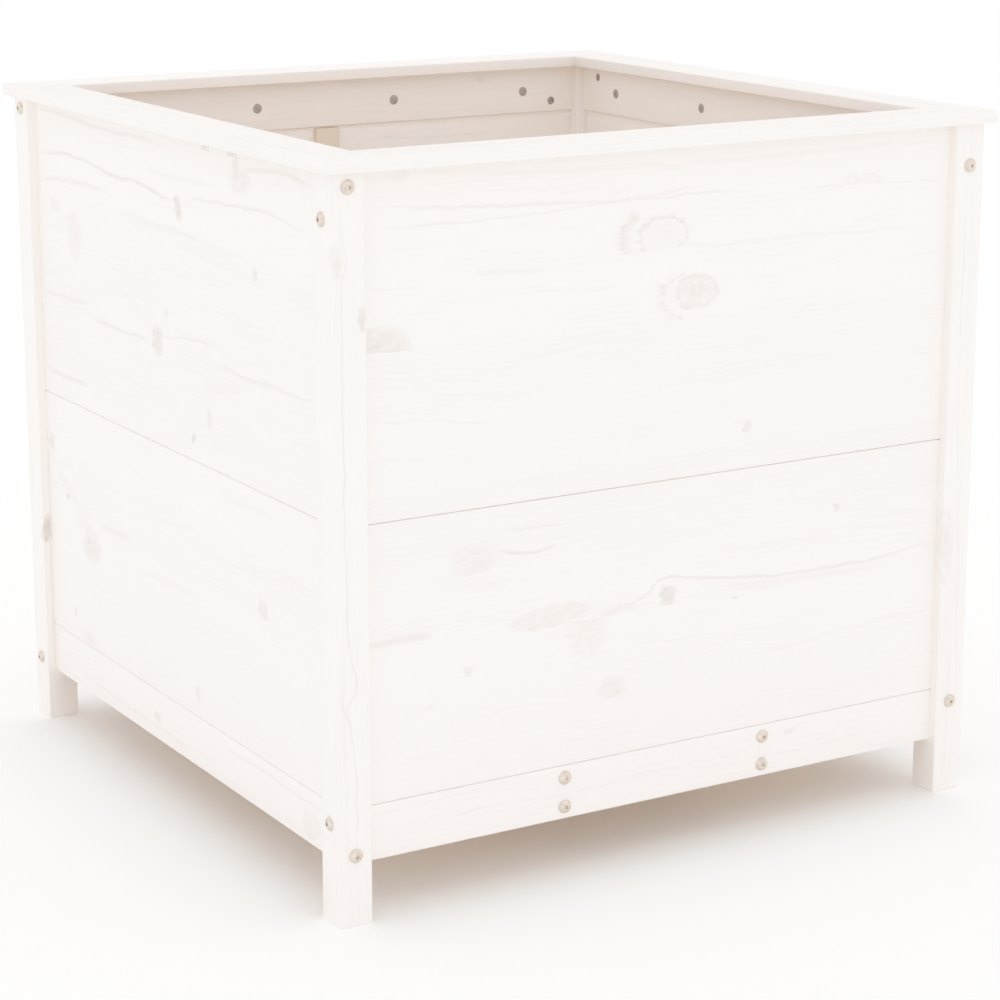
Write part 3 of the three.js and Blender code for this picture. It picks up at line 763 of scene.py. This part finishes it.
# A board or rail with its groove below and tongue above, square at the ends.
def joinedBar(node, groove, tongue, roundBelow, roundAbove, roundInner):
    low, high = nodeSpan(node)
    tongueTop = high.z
    if tongue:
        high.z -= joint['tongueHeight']
        # Where no edge is rounded the pieces are pressed tight, because the photograph shows no seam there.
        high.z += -boardLook['seamOpen'] if roundAbove else joint['gap']
    if 'rail' in node:
        low.x -= joint['gap'] - boardLook['endGap']
        high.x += joint['gap'] - boardLook['endGap']
    shape = boxShape(low, high)
    outer = low.y
    for level, radius in ((low.z, roundBelow), (high.z, roundAbove)):
        if radius:
            roundEdges(shape, radius, boardLook['segments'],
                       lambda middle, direction: abs(direction.x) > aligned
                       and abs(middle.y - outer) < sameSpot and abs(middle.z - level) < sameSpot)
    inner = high.y
    roundEdges(shape, roundInner, boardLook['segments'], lambda middle, direction: abs(direction.x) > aligned
               and abs(middle.y - inner) < sameSpot)
    middleY = outer + joint['boardThickness'] / 2
    half = joint['tongueWidth'] / 2
    if tongue:
        raiseStrip(shape, high.z, middleY - half, middleY + half, tongueTop - high.z)
    if groove:
        reach = half + joint['gap']
        grooveTop = low.z + joint['tongueHeight'] + joint['gap']
        cut = bmesh.new()
        addBox(cut, (low.x - mm, middleY - reach, low.z - mm), (high.x + mm, middleY + reach, grooveTop))
        shape = combine(shape, cut, 'DIFFERENCE')
    return shape


# Holes for a bolt and its cross nut in both ends of a bar along X.
def endHoles(endX, middleY, openY, levels):
    bores = bmesh.new()
    nuts = bmesh.new()
    for sign, level in zip((-1, 1), levels):
        for one in (level if isinstance(level, tuple) else (level,)):
            start = (sign * (endX + mm), middleY, one)
            addRod(bores, boltPlan['holeDiameter'], start, (-sign, 0, 0), boltPlan['boreDepth'] + mm)
            nutX = sign * (endX - boltPlan['nutInset'])
            floorY = middleY - boltPlan['nutHoleFloor']
            addRod(nuts, boltPlan['nutHoleDiameter'], (nutX, floorY, one), (0, 1, 0), openY + mm - floorY)
    return bores, nuts


def makeBottomRail(carriesBeams):
    shape = joinedBar('front_bottom_rail', False, True, boardLook['railRound'], boardLook['seamRound'],
                      boardLook['railRound'])
    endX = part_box('front_bottom_rail')[1].x
    bores, nuts = endHoles(endX, railMiddleY, railInnerY, boltPlan['levels']['bottom'])
    if carriesBeams:
        for x in boltPlan['beamX']:
            for level in boltPlan['levels']['bottom']:
                start = (x, outerY - mm, level)
                addRod(bores, boltPlan['holeDiameter'], start, (0, 1, 0), railInnerY - outerY + 2 * mm)
    shape = combine(shape, bores, 'DIFFERENCE')
    return meshOf(combine(shape, nuts, 'DIFFERENCE'), 'bottomRail')


camPlan = {
    'count': 4,
    'endInset': 76 * mm,
    'drop': 31 * mm,
    'holeDiameter': 12 * mm,
    'holeDepth': 12.5 * mm,
    'pinHoleDiameter': 7 * mm,
    'diameter': 11.7 * mm,
    'sunk': 0.3 * mm,
    'recessSize': 4.4 * mm,
    'recessWidth': 0.9 * mm,
    'recessDepth': 0.5 * mm,
    'pinDiameter': 6 * mm,
    'pinLift': 0.05 * mm,  # of the pin's end above the middle of the cam
    'pinSteps': 24,
    'steps': 40,
    'round': 0.4 * mm,
    'floorGap': 0.3 * mm,
    'turns': (0.35, 0.9, 0.5),  # of the first recess, then from cam to cam and from side to side
}
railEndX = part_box('front_top_rail')[1].x
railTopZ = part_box('front_top_rail')[1].z
camZ = railTopZ - camPlan['drop']
camReach = railEndX - camPlan['endInset']
camXs = [-camReach + index * 2 * camReach / (camPlan['count'] - 1) for index in range(camPlan['count'])]


def makeTopRail():
    shape = joinedBar('front_top_rail', True, False, 0, boardLook['railRound'], boardLook['railRound'])
    bores, nuts = endHoles(railEndX, railMiddleY, railInnerY, boltPlan['levels']['top'])
    for x in camXs:
        addRod(bores, camPlan['pinHoleDiameter'], (x, railMiddleY, camZ), (0, 0, 1), camPlan['drop'] + mm)
        start = (x, railInnerY - camPlan['holeDepth'], camZ)
        addRod(nuts, camPlan['holeDiameter'], start, (0, 1, 0), camPlan['holeDepth'] + mm,
               camPlan['steps'])
    shape = combine(shape, bores, 'DIFFERENCE')
    return meshOf(combine(shape, nuts, 'DIFFERENCE'), 'topRail')


capLook = {'round': 2 * mm, 'segments': 5, 'mitreGap': 0.03 * mm, 'mitreRound': 0.12 * mm}


def makeCapBoard():
    low, high = nodeSpan('front_cap_board')
    low.z = railTopZ + joint['gap']
    low.x = low.y  # the square corner that the mitre is cut from
    high.x = -low.y
    shape = boxShape(low, high)
    roundEdges(shape, capLook['round'], capLook['segments'],
               lambda middle, direction: abs(direction.x) > aligned)
    shift = capLook['mitreGap'] / 2 * math.sqrt(2)
    for sign in (-1, 1):
        everything = shape.verts[:] + shape.edges[:] + shape.faces[:]
        cut = bmesh.ops.bisect_plane(
            shape, geom=everything, dist=planeDistance, plane_co=(sign * (-low.y - shift), low.y, 0),
            plane_no=(sign, 1, 0), clear_outer=True)
        edges = [part for part in cut['geom_cut'] if isinstance(part, bmesh.types.BMEdge)]
        bmesh.ops.edgeloop_fill(shape, edges=edges)
    bmesh.ops.recalc_face_normals(shape, faces=shape.faces)
    top = high.z
    roundEdges(shape, capLook['mitreRound'], fewSegments, lambda middle, direction: abs(direction.x) < aligned
               and abs(middle.z - top) < sameSpot)
    return meshOf(shape, 'capBoard')


postLook = {'round': 2 * mm, 'segments': 5, 'endRound': 1 * mm, 'endSegments': 3}


def makePost():
    low, high = nodeSpan('post_front_left')
    middle = (low + high) / 2
    shape = boxShape(low, high)
    roundEdges(shape, postLook['round'], postLook['segments'],
               lambda place, direction: abs(direction.z) > aligned)
    bottom, top = low.z, high.z
    roundEdges(shape, postLook['endRound'], postLook['endSegments'],
               lambda place, direction: abs(direction.z) < aligned
               and min(abs(place.z - bottom), abs(place.z - top)) < sameSpot)
    grooveLow = outerY - boardLook['endGap']
    grooveHigh = outerY + joint['boardThickness'] + joint['gap']
    grooveFloor = high.x - joint['housing']
    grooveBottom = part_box('front_lower_board')[0].z - joint['gap']
    grooveTop = boardTopZ + joint['tongueHeight']
    housings = bmesh.new()
    addBox(housings, (grooveFloor, grooveLow, grooveBottom), (high.x + mm, grooveHigh, grooveTop))
    addBox(housings, (grooveLow, grooveFloor, grooveBottom), (grooveHigh, high.x + mm, grooveTop))
    shape = combine(shape, housings, 'DIFFERENCE')
    bores = bmesh.new()
    length = high.x - low.x + 2 * mm
    for levels in boltPlan['levels'].values():
        addRod(bores, boltPlan['holeDiameter'], (low.x - mm, middle.y, levels[0]), (1, 0, 0), length)
        addRod(bores, boltPlan['holeDiameter'], (middle.x, low.y - mm, levels[1]), (0, 1, 0), length)
    return meshOf(combine(shape, bores, 'DIFFERENCE'), 'post')


stripLook = {'battenRound': 1 * mm, 'slatRound': 1.2 * mm, 'segments': 3}


def makeRoundedBar(node, radius):
    low, high = nodeSpan(node)
    shape = boxShape(low, high)
    roundEdges(shape, radius, stripLook['segments'], lambda middle, direction: True)
    return shape


def makeFloorBeam():
    # Built along X at nought, as its bolt holes are made, then turned front to back in its place.
    low, high = nodeSpan('floor_beam_left')
    half = (high.x - low.x) / 2
    shape = boxShape(Vector((low.y, -half, low.z)), Vector((high.y, half, high.z)))
    roundEdges(shape, boardLook['railRound'], boardLook['segments'], lambda middle, direction: True)
    levels = boltPlan['levels']['bottom']
    bores, nuts = endHoles(high.y, 0, half, (levels, levels))
    shape = combine(shape, bores, 'DIFFERENCE')
    return meshOf(combine(shape, nuts, 'DIFFERENCE'), 'floorBeam')


# Sizes of a bolt and its nut in millimetres. The head's points are radius and height, and its
# rim meets the wood.
boltLook = {
    'headProfile': ((0, 3.2), (2.6, 3.2), (3.5, 3.12), (4.4, 2.9), (5.3, 2.5), (6.1, 2.0), (6.8, 1.42),
                    (7.15, 0.98), (7.35, 0.5), (7.35, -0.26)),
    'steps': 40,
    'shankRadius': 3.0,
    'tipChamfer': 0.8,
    'socketAcross': 4.0,
    'socketDepth': 1.6,
    'nutDiameter': 10.0,
    'nutLength': 12.0,
    'nutInset': 33.0,
    'nutReach': 42.0,
    'nutSlotWidth': 1.4,
    'nutSlotDepth': 1.2,
    'nutRound': 0.4,
    'nutSteps': 36,
    'nutGreyFrom': 20.0,  # past this the thread and the nut are duller than the head
    'gap': 0.3,
    'cornerGrip': 38.3,  # from the post's outer face to the end of the rail
    'beamGrip': 16.3,  # from the rail's outer face to the end of the beam
}


# Connector bolt along +X with its head outside x = 0, and its cross nut along Y.
def makeBolt(grip):
    tip = grip + boltLook['nutReach']
    radius, chamfer = boltLook['shankRadius'], boltLook['tipChamfer']
    profile = [(-boltLook['gap'] - height, out) for out, height in boltLook['headProfile']]
    profile += [(-boltLook['gap'], radius), (tip - chamfer, radius), (tip, radius - chamfer), (tip, 0)]
    shape = turnedShape(profile, (1, 0, 0), boltLook['steps'])

    nut = bmesh.new()
    nutX = (grip + boltLook['nutInset']) * mm
    length = boltLook['nutLength'] * mm
    addRod(nut, boltLook['nutDiameter'] * mm, (nutX, -length / 2, 0), (0, 1, 0), length,
           boltLook['nutSteps'])
    roundEdges(nut, boltLook['nutRound'] * mm, fewSegments, lambda middle, direction: abs(
        abs(middle.y) - length / 2) < sameSpot)
    shape = combine(shape, nut, 'UNION')

    cuts = bmesh.new()
    across = boltLook['socketAcross'] / math.cos(math.pi / 6) * mm
    headTop = -(boltLook['gap'] + boltLook['headProfile'][0][1]) * mm
    addRod(cuts, across, (headTop - mm, 0, 0), (1, 0, 0), boltLook['socketDepth'] * mm + mm, 6)
    for face in cuts.faces:
        face.smooth = False
    slotFloor = length / 2 - boltLook['nutSlotDepth'] * mm
    half = boltLook['nutSlotWidth'] / 2 * mm
    slotEnd = (boltLook['nutDiameter'] / 2 + 1) * mm
    addBox(cuts, (nutX - slotEnd, slotFloor, -half), (nutX + slotEnd, length / 2 + mm, half))
    mesh = meshOf(combine(shape, cuts, 'DIFFERENCE'), 'bolt')
    for face in mesh.polygons:
        face.material_index = int(face.center.x > (grip + boltLook['nutGreyFrom']) * mm)
    return mesh


# Cam disc with a turned cross recess, facing +Y at the origin, bored from above for the cap's pin.
def makeCam(turned):
    shape = bmesh.new()
    depth = camPlan['holeDepth'] - camPlan['sunk'] - camPlan['floorGap']
    addRod(shape, camPlan['diameter'], (0, -depth, 0), (0, 1, 0), depth, camPlan['steps'])
    roundEdges(shape, camPlan['round'], fewSegments, lambda middle, direction: abs(middle.y) < sameSpot)
    recess = crossRecess(camPlan)
    bmesh.ops.rotate(recess, cent=(0, 0, 0), matrix=Matrix.Rotation(turned, 3, 'Y'), verts=recess.verts)
    shape = combine(shape, recess, 'DIFFERENCE')
    bore = bmesh.new()
    pinY = railMiddleY - railInnerY + camPlan['sunk']
    addRod(bore, camPlan['pinDiameter'] + 2 * joint['gap'], (0, pinY, 0), (0, 0, 1), camPlan['diameter'])
    return meshOf(combine(shape, bore, 'DIFFERENCE'), 'cam')


def crossRecess(plan):
    cross = bmesh.new()
    half, width = plan['recessSize'] / 2, plan['recessWidth'] / 2
    addBox(cross, (-half, -plan['recessDepth'], -width), (half, mm, width))
    addBox(cross, (-width, -plan['recessDepth'], -half), (width, mm, half))
    return cross


screwPlan = {
    'profile': ((0, 0.12), (2.7, 0.08), (3.5, -0.05), (3.7, -0.25),
                (2.0, -2.2), (1.6, -5.0), (0, -6.0)),  # radius and height, mm
    'steps': 28,
    'recessSize': 3.8 * mm,
    'recessWidth': 0.9 * mm,
    'recessDepth': 0.9 * mm,
    'battenLevels': tuple(level * mm for level in (165, 300, 435, 565, 672)),
    'slatInset': 24 * mm,
    'battenTurn': 0.7,  # how far each recess is turned from the last one
    'slatTurns': (0.8, 1.3, 0.6),  # the same from slat to slat, beam to beam and row to row
}


# Bolt's place at the end of a rail or beam, with its head outside.
def boltPlace(sign, x, y, level):
    place = Matrix.Translation((sign * x, y, level))
    return place @ Matrix.Rotation(math.pi, 4, 'Y') if sign > 0 else place


# Countersunk screw whose head stands a little proud, facing +Y at the origin.
def makeScrew():
    shape = turnedShape(screwPlan['profile'], (0, 1, 0), screwPlan['steps'])
    return meshOf(combine(shape, crossRecess(screwPlan), 'DIFFERENCE'), 'screw')


boardMeshes = {
    'lower': meshOf(joinedBar('front_lower_board', True, True, boardLook['seamRound'], boardLook['seamRound'],
                              boardLook['seamRound']), 'lowerBoard'),
    'upper': meshOf(joinedBar('front_upper_board', True, True, boardLook['seamRound'], 0,
                              boardLook['seamRound']), 'upperBoard'),
}
bottomRails = {True: makeBottomRail(True), False: makeBottomRail(False)}
topRailMesh = makeTopRail()
capMesh = makeCapBoard()
postMesh = makePost()
battenMesh = meshOf(makeRoundedBar('front_centre_batten', stripLook['battenRound']), 'batten')
beamMesh = makeFloorBeam()
cornerBolt = makeBolt(boltLook['cornerGrip'])
beamBolt = makeBolt(boltLook['beamGrip'])
screwMesh = makeScrew()
pinShape = bmesh.new()
capUnder = railTopZ + joint['gap']
addRod(pinShape, camPlan['pinDiameter'], (0, 0, 0), (0, 0, 1), capUnder - camZ - camPlan['pinLift'],
       camPlan['pinSteps'])
pinMesh = meshOf(pinShape, 'pin')
print('shapes made')


# Wood of each piece

insidePaintAndShade = dict(pineLook, paint='#EDE0D1', fibreStrength=0.045)  # darker, warmer paint for the battens, floor and beams: partly thinner paint, partly painted shade of the planter's hollow
ends = (-370, 370)
sideFigures = {
    ('front', 'upper'): frontUpper, ('front', 'lower'): frontLower, ('front', 'rail'): frontRail,
    ('left', 'upper'): leftUpper, ('left', 'lower'): leftLower,
}
invented = {  # edges, strip width and number of knots
    'upper': ((414, 690), stripWidth, 6),
    'lower': ((121, 414), stripWidth, 6),
    'rail': ((62, 121), 120, 2),
}
for order, sideName in enumerate(sideNames):
    for number, (part, (edges, width, count)) in enumerate(invented.items()):
        if (sideName, part) not in sideFigures:
            sideFigures[sideName, part] = inventedFigure(100 + 10 * order + number, ends, edges, width, count)
sideFigures['back', 'upper']['knots'] += (knotAt('solid', -223, 753, 5, 4, 0.25),)
capMarks = {'right': ((113, 352), (-183, 352), (-235, 352))}

for index, sideName in enumerate(sideNames):
    turn = sideTurn(index)
    grain = sideGrain(index)
    woods = {part: paintedPine(f'paintedPine_{sideName}_{part}', grain, sideFigures[sideName, part])
             for part in ('upper', 'lower', 'rail')}
    panel = (
        ('bottom_rail', bottomRails[sideName in ('front', 'back')], 'rail'),
        ('lower_board', boardMeshes['lower'], 'lower'),
        ('upper_board', boardMeshes['upper'], 'upper'),
        ('top_rail', topRailMesh, 'upper'),
    )
    for piece, base, part in panel:
        placePiece(f'{sideName}_{piece}_wood', base, turn, (woods[part],), (f'{sideName}_{piece}',))
    capFigure = inventedFigure(200 + index, (-400, 400), (355, 410), 90, 3)
    for u, v in capMarks.get(sideName, ()):
        capFigure['knots'] += (knotAt('pale', u, v, 9, 8, 0.2),)
    capWood = paintedPine(f'paintedPine_{sideName}_cap', flatGrain(index), capFigure)
    placePiece(f'{sideName}_cap_board_wood', capMesh, turn, (capWood,), (f'{sideName}_cap_board',))
    post = postNames[index]
    centre = (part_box(post)[0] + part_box(post)[1]) / 2
    postWood = paintedPine(f'paintedPine_{post}', uprightGrain(centre), postFigures[post])
    placePiece(f'{post}_wood', postMesh, turn, (postWood,), (post,))
    print(sideName, 'wood in place')

# The battens, floor and beams take the darker paint, which is partly painted shade.
battenFigure = inventedFigure(301, (140, 700), (-16, 16), 300, 2)
battenWood = paintedPine('paintedPine_battens', uprightGrain(Vector((0, 0, 0))), battenFigure, insidePaintAndShade)
slatPitch = 122.8  # mm from one slat to the next
floorFigure = inventedFigure(302, ends, (-360, 360), slatPitch, 9)
floorFigure['stripStart'] = -3 * slatPitch
floorWood = paintedPine('paintedPine_floor', flatGrain(0), floorFigure, insidePaintAndShade)
beamFigure = inventedFigure(303, ends, (62, 121), 150, 3)
beamWood = paintedPine('paintedPine_beams', sideGrain(1), beamFigure, insidePaintAndShade)

for index, sideName in enumerate(sideNames):
    turn = sideTurn(index)
    placePiece(f'{sideName}_batten_wood', battenMesh, turn, (battenWood,),
               (f'{sideName}_centre_batten',))
    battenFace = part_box('front_centre_batten')[1].y
    for number, level in enumerate(screwPlan['battenLevels']):
        place = turn @ Matrix.Translation((0, battenFace, level)) @ Matrix.Rotation(
            screwPlan['battenTurn'] * number + index, 4, 'Y')
        placePiece(f'{sideName}_batten_screw_{number + 1}', screwMesh, place, (screwMetal,))
    for number, x in enumerate(camXs):
        place = Matrix.Translation((x, railInnerY - camPlan['sunk'], camZ))
        first, along, around = camPlan['turns']
        cam = makeCam(first + along * number + around * index)
        placePiece(f'{sideName}_cam_{number + 1}', cam, turn @ place, (camMetal,))
        pinPlace = Matrix.Translation((x, railMiddleY, camZ + camPlan['pinLift']))
        placePiece(f'{sideName}_cap_pin_{number + 1}', pinMesh, turn @ pinPlace, (screwMetal,))
    for rail, levels in boltPlan['levels'].items():
        for end, sign, level in (('left', -1, levels[0]), ('right', 1, levels[1])):
            place = boltPlace(sign, frameFace, railMiddleY, level)
            name = f'{sideName}_{rail}_bolt_{end}'
            placePiece(f'{name}_zinc', cornerBolt, turn @ place, (boltMetal, camMetal), (name,))
print('fittings in place')

floorTurn = sideTurn(1)
for beamName, x in zip(('floor_beam_left', 'floor_beam_right'), boltPlan['beamX']):
    place = Matrix.Translation((x, 0, 0)) @ floorTurn
    placePiece(f'{beamName}_wood', beamMesh, place, (beamWood,), (beamName,))
    for row, level in zip(('upper', 'lower'), boltPlan['levels']['bottom']):
        for end, sign in (('front', -1), ('back', 1)):
            spot = boltPlace(sign, -outerY, 0, level)
            name = f'{beamName}_bolt_{end}_{row}'
            placePiece(f'{name}_zinc', beamBolt, place @ spot, (boltMetal, camMetal), (name,))
for number in range(1, 7):
    name = f'floor_slat_{number}'
    slat = meshOf(makeRoundedBar(name, stripLook['slatRound']), name)
    placePiece(f'{name}_wood', slat, Matrix.Identity(4), (floorWood,), (name,))
    low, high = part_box(name)
    for beam, x in enumerate(boltPlan['beamX']):
        for row, y in enumerate((low.y + screwPlan['slatInset'], high.y - screwPlan['slatInset'])):
            place = Matrix.Translation((x, y, high.z)) @ Matrix.Rotation(math.pi / 2, 4, 'X')
            turns = sum(turn * step for turn, step in zip(screwPlan['slatTurns'], (number, beam, row)))
            place = place @ Matrix.Rotation(turns, 4, 'Y')
            placePiece(f'{name}_screw_{2 * beam + row + 1}', screwMesh, place, (screwMetal,))
for mesh in [mesh for mesh in bpy.data.meshes if not mesh.users]:
    bpy.data.meshes.remove(mesh)
print('floor in place')

# Stage: a white studio, lit evenly from all round

stage = {
    'floorSize': 60.0,
    'white': '#FFFFFF',
    'worldStrength': 1.0,
    'speckles': 90.0,
    'speckleHeight': 0.2 * mm,
    'speckleStrength': 0.1,
    'bounces': 12,  # pale walls pass light on many times
}

floorShape = bmesh.new()
bmesh.ops.create_grid(floorShape, x_segments=1, y_segments=1, size=stage['floorSize'] / 2)
floor = newObject('studioFloor', meshOf(floorShape, 'studioFloor'))
floorPaint = newMaterial('mattWhiteFloor')  # matt emulsion: no shine, so only the shadow shows
tree = floorPaint.node_tree
spot = addNode(tree, 'ShaderNodeTexCoord').outputs['Object']
speckle = addNode(tree, 'ShaderNodeTexNoise', {}, {'Vector': spot, 'Scale': stage['speckles'], 'Detail': 2.0})
grain = addNode(tree, 'ShaderNodeBump', {}, {
    'Height': speckle, 'Strength': stage['speckleStrength'], 'Distance': stage['speckleHeight']})
shader = addNode(tree, 'ShaderNodeBsdfDiffuse', {}, {'Color': linearColour(stage['white']), 'Normal': grain})
addNode(tree, 'ShaderNodeOutputMaterial', {}, {'Surface': shader})
floor.data.materials.append(floorPaint)
floor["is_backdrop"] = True

world = bpy.data.worlds.new('softStudio')
world.use_nodes = True
world.node_tree.nodes.clear()
sky = addNode(world.node_tree, 'ShaderNodeBackground', {}, {
    'Color': linearColour(stage['white']), 'Strength': stage['worldStrength']})
addNode(world.node_tree, 'ShaderNodeOutputWorld', {}, {'Surface': sky})
bpy.context.scene.world = world
bpy.context.scene.cycles.diffuse_bounces = stage['bounces']
bpy.context.scene.view_settings.view_transform = 'Standard'

# The photograph's own camera looks level and shifts its picture down by three quarters of a frame.
# Other views keep the shift, so this one looks down instead, from nearly the same place, with the
# whole planter in the picture.
camera = {
    'place': (-1.6255, -2.7503, 1.1269),
    'yaw': 31.01,
    'down': 13.39,
    'focal': 101.0,
    'sensor': 36.0,
    'shift': -0.05,
    'clipEnd': 200,
}
eye = bpy.data.cameras.new('camera')
eye.lens, eye.sensor_width, eye.shift_y = camera['focal'], camera['sensor'], camera['shift']
eye.clip_end = camera['clipEnd']
eyeObject = newObject('camera', eye)
eyeObject.location = camera['place']
eyeObject.rotation_euler = (math.radians(90 - camera['down']), 0, math.radians(-camera['yaw']))
bpy.context.scene.camera = eyeObject
print('stage set')

low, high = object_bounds()
